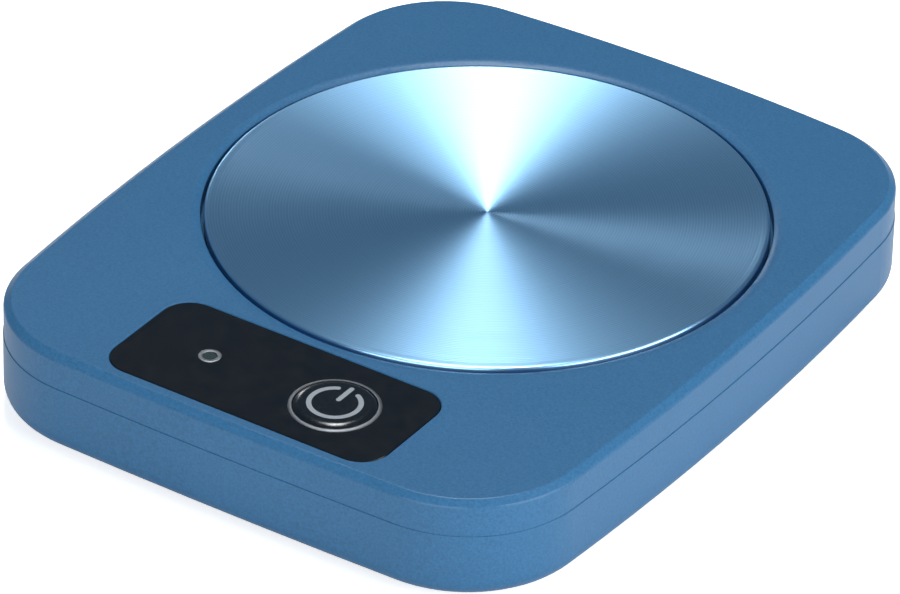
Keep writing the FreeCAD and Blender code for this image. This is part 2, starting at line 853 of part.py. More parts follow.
def fuse_clip():
    middle = (fuse_start_x + fuse_end_x) / 2
    reach = slot_half_width + fuse_clip_reach
    x_range = (middle - fuse_clip_width / 2, middle + fuse_clip_width / 2)
    z_range = (clamp_under_z - fuse_clip_thickness, clamp_under_z)
    return block(x_range, (slot_y - reach, slot_y + reach), z_range)


def temperature_sensor():
    bead = cylinder(sensor_radius, stack_z - sensor_height, stack_z, y=plate_y)
    return bead.makeFillet(sensor_round, edges_at(bead, stack_z - sensor_height))


# Control panel, indicator and power button

def control_panel():
    panel = rounded_block(panel_width, panel_depth, panel_corner, (panel_under_z, panel_top_z), y=panel_y)
    panel = panel.makeChamfer(panel_edge, edges_at(panel, panel_top_z))
    for radius, x, y in ((ring_sleeve_radius, button_x, button_y),
                         (indicator_sleeve_radius, indicator_x, indicator_y)):
        panel = panel.cut(cylinder(radius + press_gap, panel_under_z, panel_top_z, x, y))
    return panel


def panel_adhesive():
    corner = panel_corner - adhesive_margin
    sheet = rounded_block(panel_width - 2 * adhesive_margin, panel_depth - 2 * adhesive_margin, corner,
                          (pocket_z, panel_under_z), y=panel_y)
    for radius, x, y in ((ring_sleeve_radius, button_x, button_y),
                         (indicator_sleeve_radius, indicator_x, indicator_y)):
        sheet = sheet.cut(cylinder(radius + adhesive_margin / 2, pocket_z, panel_under_z, x, y))
    return sheet


def button_ring():
    rim_z = panel_top_z + ring_rim
    crest_radius = (ring_bore + ring_outer_radius) / 2
    crest = turned_arc((ring_outer_radius, rim_z), (crest_radius, panel_top_z + ring_crest),
                       (ring_bore, rim_z), button_x, button_y)
    corners = [(ring_bore, rim_z), (ring_bore, panel_under_z), (ring_sleeve_radius, panel_under_z),
               (ring_sleeve_radius, panel_top_z), (ring_outer_radius, panel_top_z),
               (ring_outer_radius, rim_z)]
    return turned_outline([crest] + turned_lines(corners, button_x, button_y), button_x, button_y)


def power_button():
    plateau_z = panel_top_z + cap_plateau_height
    skirt_z = panel_top_z + cap_skirt_height
    flange_top = deck_under_z - cap_flange_gap
    flange_low = flange_top - cap_flange_thickness
    flange_radius = cap_radius + cap_flange_reach
    skirt_run = cap_radius - cap_plateau_radius
    skirt_drop = plateau_z - skirt_z
    bend = (skirt_run ** 2 + skirt_drop ** 2) / (2 * skirt_drop)
    half_run = skirt_run / 2
    half_height = plateau_z - bend + sqrt(bend ** 2 - half_run ** 2)

    hollow_top = plateau_z - cap_top_thickness
    inner = cap_radius - cap_side_wall
    corners = [(cap_radius, skirt_z), (cap_radius, flange_top), (flange_radius, flange_top),
               (flange_radius, flange_low), (inner, flange_low), (inner, hollow_top),
               (cap_stem_radius, hollow_top), (cap_stem_radius, plunger_top_z), (0, plunger_top_z),
               (0, plateau_z), (cap_plateau_radius, plateau_z)]
    skirt = turned_arc((cap_plateau_radius, plateau_z), (cap_plateau_radius + half_run, half_height),
                       (cap_radius, skirt_z), button_x, button_y)
    cap = turned_outline([skirt] + turned_lines(corners, button_x, button_y), button_x, button_y)
    return cap.cut(power_symbol())


def power_symbol():
    """A broken ring with an upright bar, inlaid in the cap's plateau."""
    top = panel_top_z + cap_plateau_height + symbol_proud
    low = top - symbol_proud - symbol_depth
    half = symbol_stroke / 2
    arc = ring(symbol_radius + half, symbol_radius - half, low, top, button_x, button_y)
    reach = symbol_radius + symbol_stroke
    spread = reach * tan(radians(symbol_gap_angle))
    corners = [Vector(button_x, button_y, low), Vector(button_x + spread, button_y + reach, low),
               Vector(button_x - spread, button_y + reach, low), Vector(button_x, button_y, low)]
    arc = arc.cut(Part.Face(Part.makePolygon(corners)).extrude(Vector(0, 0, top - low)))
    ends = []
    for side in (-1, 1):
        angle = radians(90 + side * symbol_gap_angle)
        x, y = button_x + symbol_radius * cos(angle), button_y + symbol_radius * sin(angle)
        ends.append(cylinder(half, low, top, x, y))
    start, end = button_y + symbol_bar_start, button_y + symbol_bar_end
    bar = joined([block((button_x - half, button_x + half), (start, end), (low, top)),
                  cylinder(half, low, top, button_x, start), cylinder(half, low, top, button_x, end)])
    return group([joined([arc] + ends), bar])


def indicator_ring():
    crest = panel_top_z + indicator_ring_proud
    chamfer = indicator_ring_chamfer
    return turned([(indicator_bore, panel_under_z), (indicator_sleeve_radius, panel_under_z),
                   (indicator_sleeve_radius, panel_top_z), (indicator_ring_outer, panel_top_z),
                   (indicator_ring_outer, crest - chamfer), (indicator_ring_outer - chamfer, crest),
                   (indicator_bore + chamfer, crest), (indicator_bore, crest - chamfer)],
                  indicator_x, indicator_y)


def indicator_lens():
    top = panel_top_z - lens_recess
    flange_low = deck_under_z - lens_flange_thickness
    low = board_top_z + led_base_height + led_dome_height + lens_to_led
    return turned([(0, low), (lens_foot_radius, low), (lens_foot_radius, flange_low),
                   (lens_flange_radius, flange_low), (lens_flange_radius, deck_under_z),
                   (lens_radius, deck_under_z), (lens_radius, top), (0, top)], indicator_x, indicator_y)


def indicator_led():
    base = block_on(indicator_x, indicator_y, board_top_z, (led_length, led_width, led_base_height))
    base_top = board_top_z + led_base_height
    dome = cylinder(led_dome_radius, base_top, base_top + led_dome_height, indicator_x, indicator_y)
    return base.fuse(dome)


# Tactile switch

def switch_housing():
    body = block_on(button_x, button_y, board_top_z, (switch_size, switch_size, switch_body_height))
    return body.cut(cylinder(switch_cavity_radius, switch_floor_z, switch_cover_z, button_x, button_y))


def switch_cover():
    half = switch_size / 2
    top = switch_cover_z + switch_cover_thickness
    low = switch_cover_z - switch_skirt
    outside = half + switch_cover_thickness
    x_range = (button_x - half, button_x + half)
    cover = block(x_range, (button_y - outside, button_y + outside), (low, top))
    cover = cover.cut(block(x_range, (button_y - half, button_y + half), (low, switch_cover_z)))
    return cover.cut(cylinder(switch_hole_radius, switch_cover_z, top, button_x, button_y))


def switch_plunger():
    low = switch_floor_z + dome_height + dome_gap
    shoulder = switch_cover_z - plunger_gap
    return turned([(0, low), (plunger_flange_radius, low), (plunger_flange_radius, shoulder),
                   (plunger_radius, shoulder), (plunger_radius, plunger_top_z), (0, plunger_top_z)],
                  button_x, button_y)


def switch_dome():
    """A shallow round snap dome on the switch's floor."""
    outer = (dome_rim_radius ** 2 + dome_height ** 2) / (2 * dome_height)
    centre = Vector(button_x, button_y, switch_floor_z + dome_height - outer)
    shell = Part.makeSphere(outer, centre).cut(Part.makeSphere(outer - dome_thickness, centre))
    keep = cylinder(dome_rim_radius, switch_floor_z, switch_floor_z + dome_height, button_x, button_y)
    return shell.common(keep)


def switch_leg_places():
    reach = switch_size / 2 + switch_leg_thickness / 2
    return [(button_x + side * reach, button_y + across * switch_leg_spread) for side in (-1, 1)
            for across in (-1, 1)]


def switch_terminals():
    size = (switch_leg_thickness, switch_leg_width, switch_leg_above + board_thickness + switch_leg_below)
    return group([block_on(x, y, board_z - switch_leg_below, size) for x, y in switch_leg_places()])


# Main board

def main_board():
    board = rounded_block(2 * board_half_width, board_depth, board_corner, (board_z, board_top_z),
                          y=(board_front_y + board_back_y) / 2)
    for x, y in board_screw_places:
        board = board.cut(cylinder(board_hole_radius, board_z, board_top_z, x, y))
    for x, y in switch_leg_places():
        board = board.cut(cylinder(leg_hole_radius, board_z, board_top_z, x, y))
    return board


def small_screws(places):
    return group([screw_down(x, y, board_top_z, board_head_radius, board_head_height,
                             board_shank_radius, board_shank_length) for x, y in places])


def on_board(place):
    return place[0], board_front_y + place[1]


def control_chip():
    x, y = on_board(chip_place)
    return block_on(x, y, board_top_z, chip_size)


def chip_legs():
    x, y = on_board(chip_place)
    legs = []
    for side in (-1, 1):
        leg_y = y + side * (chip_size[1] + chip_leg_size[1]) / 2
        for index in range(chip_leg_count):
            leg_x = x + (index - (chip_leg_count - 1) / 2) * chip_leg_pitch
            legs.append(block_on(leg_x, leg_y, board_top_z, chip_leg_size))
    return group(legs)


def power_transistor():
    x, y = on_board(transistor_place)
    body = block_on(x, y, board_top_z, transistor_size)
    tab_y = y + (transistor_size[1] + transistor_tab[1]) / 2
    return body.fuse(block_on(x, tab_y, board_top_z, transistor_tab))


def voltage_regulator():
    x, y = on_board(regulator_place)
    return block_on(x, y, board_top_z, regulator_size)


def bulk_capacitor():
    x, y = on_board(can_place)
    base_top = board_top_z + can_base[2]
    can = cylinder(can_radius, base_top, board_top_z + can_height, x, y)
    can = can.makeFillet(can_round, edges_at(can, board_top_z + can_height))
    return block_on(x, y, board_top_z, can_base).fuse(can)


def small_parts(places, size):
    spots = [on_board(place) for place in places]
    return group([block_on(x, y, board_top_z, size) for x, y in spots])


# Plugs and headers

def header_width(pitch):
    return 2 * pitch + 2 * header_wall


def header_hollow(x, pitch, gap):
    """The room for a plug, made smaller by gap on each side."""
    half = header_width(pitch) / 2 - header_wall - gap
    return (x - half, x + half), (header_z - header_height / 2 + header_wall + gap,
                                  header_z + header_height / 2 - header_wall - gap)


def header(x, pitch):
    half = header_width(pitch) / 2
    shroud = block((x - half, x + half), (header_back_y - header_depth, header_back_y),
                   (board_top_z, board_top_z + header_height))
    x_range, z_range = header_hollow(x, pitch, 0)
    return shroud.cut(block(x_range, (header_back_y - header_socket_depth, header_back_y), z_range))


def pin_block(x, grow):
    half = pin_size / 2 + grow
    low = header_back_y - header_socket_depth
    return block((x - half, x + half), (low, low + pin_length), (header_z - half, header_z + half))


def lead_offsets(x, pitch):
    return [x - pitch / 2, x + pitch / 2]


def supply_lead_offsets(x):
    return lead_offsets(x, power_pitch)


def header_pins():
    pins = []
    for x, pitch in ((heater_header_x, power_pitch), (sensor_header_x, sensor_pitch),
                     (supply_header_x, power_pitch)):
        pins += [pin_block(pin_x, 0) for pin_x in lead_offsets(x, pitch)]
    return group(pins)


def plug(x, pitch):
    x_range, z_range = header_hollow(x, pitch, plug_clearance)
    body = block(x_range, (header_back_y - header_socket_depth, plug_back_y), z_range)
    for pin_x in lead_offsets(x, pitch):
        body = body.cut(pin_block(pin_x, pin_clearance))
    return body


# Leads: straight runs joined by arcs that touch them

def lead(points, radius):
    corners = [Vector(*point) for point in points]
    edges = []
    start = corners[0]
    tightest = None
    for before, corner, after in zip(corners, corners[1:], corners[2:]):
        come = (corner - before).normalize()
        go = (after - corner).normalize()
        share = corner_share * min((corner - before).Length, (after - corner).Length)
        turn = come.getAngle(go)
        bend = share / tan(turn / 2)
        tightest = bend if tightest is None else min(tightest, bend)
        first = corner - come * share
        last = corner + go * share
        towards = (go - come).normalize()
        middle = corner + towards * (bend / cos(turn / 2) - bend)
        edges.append(Part.LineSegment(start, first).toShape())
        edges.append(Part.Arc(first, middle, last).toShape())
        start = last
    edges.append(Part.LineSegment(start, corners[-1]).toShape())
    path = Part.Wire(edges)
    section = Part.Wire(Part.makeCircle(radius, corners[0], corners[1] - corners[0]))
    tube = path.makePipeShell([section], True)
    share = tube.Volume / (pi * radius ** 2 * path.Length)
    print(f"lead: {path.Length:.1f} mm long, tightest bend {tightest:.1f} mm, volume share {share:.4f}")
    return tube


def supply_leads():
    lead_top_z = board_top_z + power_lead_radius
    leads = []
    for start_x, offset in zip(supply_lead_offsets(supply_header_x), supply_lead_offsets(0)):
        leads.append(lead([
            (start_x, plug_back_y, header_z),
            (start_x, plug_back_y + lead_straight, header_z),
            (start_x, plug_back_y + supply_drop_run, lead_floor_z),
            (start_x, plate_y - supply_turn, lead_floor_z),
            (supply_swing[0] + offset, inlet_front_y - supply_swing[1], lead_floor_z),
            (supply_near_inlet[0] + offset, inlet_front_y - supply_near_inlet[1], lead_floor_z),
            (offset, inlet_front_y - board_lead_in, lead_top_z),
            (offset, inlet_front_y + lead_on_board, lead_top_z)], power_lead_radius))
    return group(leads)


def heater_leads():
    low = stack_z - terminal_drop
    leads = []
    for start_x, end_x in zip(lead_offsets(heater_header_x, power_pitch), (-terminal_x, fused_terminal_x)):
        leads.append(lead([
            (start_x, plug_back_y, header_z),
            (start_x, plug_back_y + lead_straight, header_z),
            (end_x, slot_y - lead_straight, header_z),
            (end_x, slot_y, header_z),
            (end_x, slot_y, low)], power_lead_radius))
    return group(leads)


def sensor_leads():
    run_z = clamp_under_z - sensor_lead_drop
    bead_low = stack_z - sensor_height
    leads = []
    for start_x, end_x in zip(lead_offsets(sensor_header_x, sensor_pitch), lead_offsets(0, sensor_radius)):
        leads.append(lead([
            (start_x, plug_back_y, header_z),
            (start_x, plug_back_y + lead_straight, header_z),
            (start_x, slot_y, run_z),
            (end_x, plate_y - lead_straight, run_z),
            (end_x, plate_y, run_z),
            (end_x, plate_y, bead_low)], sensor_lead_radius))
    return group(leads)


def lead_joints(leads):
    """Solder round the ends of the supply leads on the inlet's board."""
    low_y = inlet_front_y + lead_on_board - joint_length / 2
    half = power_lead_radius + joint_side
    z_range = (board_top_z, board_top_z + joint_height)
    joints = []
    for x in supply_lead_offsets(0):
        joint = block((x - half, x + half), (low_y, low_y + joint_length), z_range)
        joints.append(joint.cut(leads))
    return group(joints)


# Power inlet

def inlet_board():
    board = rounded_block(2 * inlet_half_width, inlet_depth, board_corner, (board_z, board_top_z),
                          y=(inlet_front_y + inlet_back_y) / 2)
    for x, y in inlet_screw_places:
        board = board.cut(cylinder(board_hole_radius, board_z, board_top_z, x, y))
    return board


def socket_shell():
    inside = (socket_half_width - socket_wall, socket_half_height - socket_wall)
    shell = obround(socket_half_width, socket_half_height, socket_back_y, socket_mouth_y)
    shell = shell.cut(obround(inside[0], inside[1], socket_back_y, socket_mouth_y))
    reach = socket_half_width - socket_half_height + socket_tab[0] / 2
    tabs = []
    for side in (-1, 1):
        tab = block_on(side * (reach + socket_tab[0]), socket_back_y + socket_tab[1], board_top_z, socket_tab)
        tabs.append(tab.cut(obround(socket_half_width, socket_half_height, socket_back_y, socket_mouth_y)))
    return shell.multiFuse(tabs)


def socket_tongue():
    inside = (socket_half_width - socket_wall, socket_half_height - socket_wall)
    rear = obround(inside[0], inside[1], socket_back_y, socket_back_y + socket_block_length)
    front = socket_back_y + socket_block_length
    blade = block((-tongue_half_width, tongue_half_width), (front, front + tongue_reach),
                  (socket_z - tongue_half_height, socket_z + tongue_half_height))
    return rear.fuse(blade)


def socket_contacts():
    start = socket_back_y + socket_block_length
    strips = []
    for low in (socket_z + tongue_half_height, socket_z - tongue_half_height - contact_thickness):
        for index in range(contact_count):
            x = (index - (contact_count - 1) / 2) * contact_pitch
            x_range = (x - contact_width / 2, x + contact_width / 2)
            strips.append(block(x_range, (start, start + contact_length), (low, low + contact_thickness)))
    return group(strips)


def inlet_resistors():
    y = inlet_front_y + inlet_resistor_inset
    return group([block_on(side * inlet_resistor_x, y, board_top_z, resistor_size) for side in (-1, 1)])


def main():
    os.makedirs("parts", exist_ok=True)
    save("top_shell", top_shell())
    save("base_shell", base_shell())
    save("rubber_feet", rubber_feet())
    save("case_screws", case_screws())
    save("heating_plate", heating_plate())
    save("plate_gasket", plate_gasket())
    save("heater_film", heater_film())
    save("heater_trace", heater_trace())
    save("heater_cover_film", heater_cover_film())
    save("heater_terminals", heater_terminals())
    save("insulation_pad", insulation_pad())
    save("clamp_plate", clamp_plate())
    save("clamp_screws", clamp_screws())
    save("thermal_fuse", thermal_fuse())
    save("fuse_clip", fuse_clip())
    save("temperature_sensor", temperature_sensor())
    save("control_panel", control_panel())
    save("panel_adhesive", panel_adhesive())
    save("button_ring", button_ring())
    save("power_button", power_button())
    save("power_symbol", power_symbol())
    save("indicator_ring", indicator_ring())
    save("indicator_lens", indicator_lens())
    save("indicator_led", indicator_led())
    save("switch_housing", switch_housing())
    save("switch_cover", switch_cover())
    save("switch_plunger", switch_plunger())
    save("switch_dome", switch_dome())
    save("switch_terminals", switch_terminals())
    save("main_board", main_board())
    save("board_screws", small_screws(board_screw_places))
    save("control_chip", control_chip())
    save("chip_legs", chip_legs())
    save("power_transistor", power_transistor())
    save("voltage_regulator", voltage_regulator())
    save("bulk_capacitor", bulk_capacitor())
    save("ceramic_capacitors", small_parts(ceramic_places, ceramic_size))
    save("chip_resistors", small_parts(resistor_places, resistor_size))
    save("heater_header", header(heater_header_x, power_pitch))
    save("sensor_header", header(sensor_header_x, sensor_pitch))
    save("supply_header", header(supply_header_x, power_pitch))
    save("header_pins", header_pins())
    save("heater_plug", plug(heater_header_x, power_pitch))
    save("sensor_plug", plug(sensor_header_x, sensor_pitch))
    save("supply_plug", plug(supply_header_x, power_pitch))
    save("heater_leads", heater_leads())
    save("sensor_leads", sensor_leads())
    supply = supply_leads()
    save("supply_leads", supply)
    save("lead_joints", lead_joints(supply))
    save("inlet_board", inlet_board())
    save("inlet_screws", small_screws(inlet_screw_places))
    save("socket_shell", socket_shell())
    save("socket_tongue", socket_tongue())
    save("socket_contacts", socket_contacts())
    save("inlet_resistors", inlet_resistors())


main()
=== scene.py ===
import math

import bpy
from mathutils import Matrix, Vector


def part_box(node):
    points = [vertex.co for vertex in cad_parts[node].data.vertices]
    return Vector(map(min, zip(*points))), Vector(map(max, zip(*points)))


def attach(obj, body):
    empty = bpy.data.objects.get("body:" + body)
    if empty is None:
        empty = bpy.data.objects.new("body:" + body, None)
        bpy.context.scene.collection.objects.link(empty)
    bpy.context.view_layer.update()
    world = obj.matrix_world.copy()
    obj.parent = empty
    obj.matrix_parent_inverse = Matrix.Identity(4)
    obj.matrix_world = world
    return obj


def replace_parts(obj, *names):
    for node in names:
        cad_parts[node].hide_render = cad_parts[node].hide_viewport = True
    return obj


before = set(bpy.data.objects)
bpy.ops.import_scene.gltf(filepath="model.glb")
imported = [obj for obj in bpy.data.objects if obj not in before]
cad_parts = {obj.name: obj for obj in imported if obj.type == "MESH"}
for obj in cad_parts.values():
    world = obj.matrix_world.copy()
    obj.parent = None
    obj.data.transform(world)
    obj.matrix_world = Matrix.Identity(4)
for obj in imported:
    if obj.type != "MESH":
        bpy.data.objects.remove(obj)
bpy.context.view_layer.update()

# Electric mug warmer: the looks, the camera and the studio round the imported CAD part. Metres, Z up.

# Camera, as a turntable angle, a height angle and a small roll about the middle of the deck
camera_azimuth = 32.8234
camera_elevation = 32.9744
camera_roll = 1.4724
camera_distance = 1.07119
camera_aim_side = -0.00128
camera_aim_up = -0.00941
camera_lens = 282.94
camera_clip = (0.05, 20.0)
sensor_width = 36.0
deck_height = 0.018

# Heating plate: spun grooves inside a smooth rim, with its edge rounded
groove_pitch = 0.00045
groove_depth = 0.00002
groove_steps = 4
plate_rim_width = 0.0007
plate_edge_round = 0.00045
plate_thickness = 0.002

# Bosses under the plate, where the clamp's screws go in
boss_circle = 0.0352
boss_angles = (90.0, 210.0, 330.0)
boss_radius = 0.0022
boss_bore = 0.00122

# Trim rings round the button and the indicator; the crest is a share of the line, from outside
trim_sleeve = 0.00035
button_line = 0.00056
button_rim = 0.00006
button_crest = 0.85
indicator_line = 0.00063
indicator_rim = 0.00004
indicator_crest = 0.5

# Button cap: a flat top inside a soft skirt, and the lens; drops are from the panel's top face
button_clearance = 0.00012
cap_plateau_radius = 0.00495
cap_skirt_rise = 0.0001
cap_side_wall = 0.0011
cap_top_thickness = 0.0012
cap_flange_drop = 0.00243
cap_flange_thickness = 0.0008
cap_stem_radius = 0.0016
lens_clearance = 0.00002
lens_flange_drop = 0.00235
lens_flange_thickness = 0.0008
lens_foot_radius = 0.0015

# Turned pieces
turn_segments = 248
curve_steps = 16
sharp_angle = 28.0

# Colours are sRGB from 0 to 255, and a spread is the share that a colour varies by, both ways.
# A texture is the scale per metre, the detail and the roughness of a noise.
# Most of a noise's values lie in its span.
noise_span = (0.3, 0.7)
unit_span = (0.0, 1.0)

# Case: matte blue moulded plastic; the shares are the cloud's in the colour and the grain's in the relief
case_colour = (48, 94, 131)
case_spread = 0.18
case_speck = (2600.0, 2.0, 0.6)
case_cloud = (26.0, 2.0, 0.5)
case_cloud_share = 0.2
case_grain = (5200.0, 1.0, 0.5)
case_grain_share = 0.5
case_roughness = (0.3, 0.4)
case_relief = 0.000014
case_relief_strength = 0.8
case_specular = 0.25

# Spun metal: the tilt leans its normals inward, and it is roughest towards the coarse angle
spin_colour = (160, 210, 253)
spin_spread = 0.11
spin_marks = (3000.0, 3.0, 0.6)
spin_marks_share = 0.4
# The share of painted groove shade in the colour: lighter on the crests, darker in the groove bottoms
spin_groove_shade_share = 0.3
spin_tilt = 0.072
spin_roughness = (0.322, 0.424)
spin_coarse_angle = 122.0
spin_coarse_span = (0.1, 0.8)
spin_anisotropy = 0.8
spin_anisotropy_turn = 0.25

# Grain of the plain finishes, with clouds over it that are coarser by a factor
grain_detail = 3.0
cloud_detail = 2.0
cloud_factor = 12
cloud_share = 0.4
plain_noise_roughness = 0.5

# Plain finishes by slot: colour, its spread, roughness from and to, grain per metre, relief, shader inputs
nonmetal = {}
metal = {"Metallic": 1.0}
plain_finishes = {
    # Control panel
    "panel_black": ((8, 12, 18), 0.12, (0.19, 0.25), 400.0, 0.000001, {"IOR": 1.45}),
    "lens_smoke": ((44, 56, 55), 0.1, (0.09, 0.15), 900.0, 0.000002, {"IOR": 1.49, "Coat_Weight": 0.4}),
    "silver_trim": ((119, 122, 126), 0.05, (0.44, 0.52), 1400.0, 0.000002, metal),
    "button_black": ((14, 18, 24), 0.12, (0.15, 0.25), 1800.0, 0.000002, {"IOR": 1.48}),
    "symbol_silver": ((134, 140, 146), 0.06, (0.4, 0.5), 1800.0, 0.000003, nonmetal),
    "adhesive": ((188, 190, 188), 0.08, (0.45, 0.55), 700.0, 0.00001, nonmetal),
    # Feet, screws and inner mouldings
    "foot_rubber": ((34, 36, 39), 0.15, (0.8, 0.9), 1500.0, 0.00002, nonmetal),
    "screw_steel": ((172, 174, 176), 0.08, (0.27, 0.37), 1300.0, 0.000004, metal),
    "inner_black": ((30, 31, 33), 0.14, (0.45, 0.55), 1500.0, 0.00001, nonmetal),
    # Heater stack under the plate
    # Silicone gasket, seen only down the gap round the plate: its colour is darkened to a painted shade of
    # that gap
    "silicone": ((24, 30, 40), 0.12, (0.55, 0.65), 700.0, 0.00001, nonmetal),
    "film_amber": ((196, 122, 38), 0.1, (0.25, 0.35), 500.0, 0.000004, nonmetal),
    "foil_copper": ((208, 132, 92), 0.08, (0.25, 0.35), 900.0, 0.000004, metal),
    "insulation": ((216, 214, 204), 0.14, (0.9, 1.0), 900.0, 0.00006, nonmetal),
    "steel": ((176, 180, 184), 0.07, (0.33, 0.43), 1200.0, 0.000004, metal),
    "fuse_case": ((196, 186, 150), 0.08, (0.35, 0.45), 800.0, 0.000004, {"Metallic": 0.6}),
    "sensor_epoxy": ((30, 32, 34), 0.15, (0.25, 0.35), 900.0, 0.00001, nonmetal),
    # Boards and what sits on them
    "board_green": ((22, 84, 52), 0.16, (0.3, 0.4), 500.0, 0.000008, nonmetal),
    "led_resin": ((214, 224, 214), 0.06, (0.15, 0.25), 900.0, 0.000004, nonmetal),
    "can_aluminium": ((196, 198, 200), 0.06, (0.25, 0.35), 1000.0, 0.000004, metal),
    "ceramic_tan": ((178, 144, 104), 0.1, (0.45, 0.55), 1500.0, 0.000008, nonmetal),
    "resistor_black": ((26, 26, 28), 0.15, (0.4, 0.5), 1500.0, 0.000006, nonmetal),
    "nylon_white": ((224, 222, 212), 0.05, (0.45, 0.55), 900.0, 0.000008, nonmetal),
    "tin": ((190, 192, 194), 0.08, (0.3, 0.4), 1100.0, 0.000005, metal),
    "gold": ((226, 184, 98), 0.06, (0.2, 0.3), 1200.0, 0.000003, metal),
    # Leads
    "lead_white": ((222, 222, 218), 0.06, (0.45, 0.55), 700.0, 0.00001, nonmetal),
    "lead_grey": ((128, 130, 132), 0.08, (0.45, 0.55), 700.0, 0.00001, nonmetal),
    "lead_black": ((28, 28, 30), 0.14, (0.45, 0.55), 700.0, 0.00001, nonmetal),
}

# Studio floor: a flat disc with a rim that sweeps up
floor_radius = 3.0
floor_drop = 0.00005
floor_rings = (0.25, 0.5, 1.0)
cove_radius = 0.25
floor_segments = 96
cove_rings = 12
floor_albedo = 0.9
floor_glow = 0.6

# Lamps: deck angle (0 is +X, 90 is the back), height angle, distance, width, length, strength per area
lamps = {
    "overhead_strip": (123.8, 70.0, 1.5, 0.30, 0.55, 26.0),
    "right_box": (0.0, 25.0, 1.6, 1.5, 1.1, 5.7),
    "front_box": (-80.0, 20.0, 1.8, 1.5, 1.0, 4.5),
    "low_back_strip": (138.0, 15.0, 2.0, 0.2, 0.5, 6.5),
}

# Light from all round, with its colour as linear light from 0 to 1
world_colour = (0.5, 0.75, 1.0)
world_level = 0.18


# Colours and nodes

def linear(colour):
    """An sRGB colour from 0 to 255 as linear light, by the sRGB curve."""
    shares = [value / 255 for value in colour]
    return [v / 12.92 if v <= 0.04045 else ((v + 0.055) / 1.055) ** 2.4 for v in shares]


def tones(colour, spread):
    """A darker and a lighter tone of one colour, with alpha."""
    base = linear(colour)
    return [[min(1.0, value * factor) for value in base] + [1.0] for factor in (1 - spread, 1 + spread)]


def add(tree, kind, inputs=None, **settings):
    """A new node, with its settings, and with its inputs linked or set."""
    node = tree.nodes.new(kind)
    for key, value in settings.items():
        setattr(node, key, value)
    for key, value in (inputs or {}).items():
        if isinstance(value, bpy.types.NodeSocket):
            tree.links.new(value, node.inputs[key])
        else:
            node.inputs[key].default_value = value
    return node


def math_node(tree, operation, *values):
    return add(tree, "ShaderNodeMath", dict(enumerate(values)), operation=operation).outputs[0]


def vector_node(tree, operation, *values):
    return add(tree, "ShaderNodeVectorMath", dict(enumerate(values)), operation=operation)


def weighted(tree, first, first_share, second, second_share):
    first = math_node(tree, "MULTIPLY", first, first_share)
    second = math_node(tree, "MULTIPLY", second, second_share)
    return math_node(tree, "ADD", first, second)


def position(tree):
    return add(tree, "ShaderNodeTexCoord").outputs["Object"]


def noise(tree, texture, vector):
    scale, detail, roughness = texture
    inputs = {"Vector": vector, "Scale": scale, "Detail": detail, "Roughness": roughness}
    return add(tree, "ShaderNodeTexNoise", inputs).outputs["Fac"]


def ranged(tree, value, from_range, to_range):
    inputs = {"Value": value, "From Min": from_range[0], "From Max": from_range[1],
              "To Min": to_range[0], "To Max": to_range[1]}
    return add(tree, "ShaderNodeMapRange", inputs).outputs["Result"]


def blend_colours(tree, share, first, second):
    node = add(tree, "ShaderNodeMix", data_type="RGBA")
    for socket, value in (("Factor_Float", share), ("A_Color", first), ("B_Color", second)):
        target = next(item for item in node.inputs if item.identifier == socket)
        if isinstance(value, bpy.types.NodeSocket):
            tree.links.new(value, target)
        else:
            target.default_value = value
    return next(item for item in node.outputs if item.identifier == "Result_Color")


def bump(tree, height, distance, strength=1.0, normal=None):
    inputs = {"Height": height, "Distance": distance, "Strength": strength}
    if normal is not None:
        inputs["Normal"] = normal
    return add(tree, "ShaderNodeBump", inputs).outputs["Normal"]


def new_material(name):
    material = bpy.data.materials.new(name)
    material.use_nodes = True
    material.node_tree.nodes.clear()
    return material, material.node_tree


def surface(tree, **inputs):
    """The material's shader; an input's name has an underscore for each space."""
    values = {key.replace("_", " "): value for key, value in inputs.items()}
    shader = add(tree, "ShaderNodeBsdfPrincipled", values)
    output = add(tree, "ShaderNodeOutputMaterial")
    tree.links.new(shader.outputs[0], output.inputs["Surface"])


# Places from the frame

def middle(node):
    low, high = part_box(node)
    return (low[0] + high[0]) / 2, (low[1] + high[1]) / 2


def reach(node):
    """Half the width of a node, which is a round one's radius."""
    low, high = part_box(node)
    return (high[0] - low[0]) / 2


plate_centre = middle("heating_plate")
grooved_radius = reach("heating_plate") - plate_edge_round - plate_rim_width
panel_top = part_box("control_panel")[1][2]


# Finishes

def plain_finish(name, colour, spread, roughness, grain, relief, extra):
    """A moulded, plated or painted finish with grain in its colour, its gloss and its relief."""
    material, tree = new_material(name)
    fine = noise(tree, (grain, grain_detail, plain_noise_roughness), position(tree))
    cloudy = noise(tree, (grain / cloud_factor, cloud_detail, plain_noise_roughness), position(tree))
    mixed = weighted(tree, fine, 1 - cloud_share, cloudy, cloud_share)
    dark, light = tones(colour, spread)
    share = ranged(tree, mixed, noise_span, unit_span)
    surface(tree, Base_Color=blend_colours(tree, share, dark, light),
            Roughness=ranged(tree, fine, noise_span, roughness),
            Normal=bump(tree, fine, relief), **extra)
    return material


def case_finish():
    """Matte blue moulded plastic with a fine spark-eroded grain."""
    material, tree = new_material("case_blue")
    place = position(tree)
    speck = noise(tree, case_speck, place)
    grain = noise(tree, case_grain, place)
    cloud = noise(tree, case_cloud, place)
    mixed = weighted(tree, speck, 1 - case_cloud_share, cloud, case_cloud_share)
    dark, light = tones(case_colour, case_spread)
    share = ranged(tree, mixed, noise_span, unit_span)
    height = weighted(tree, speck, 1.0, grain, case_grain_share)
    surface(tree, Base_Color=blend_colours(tree, share, dark, light),
            Roughness=ranged(tree, speck, noise_span, case_roughness),
            Normal=bump(tree, height, case_relief, case_relief_strength),
            Specular_IOR_Level=case_specular)
    return material


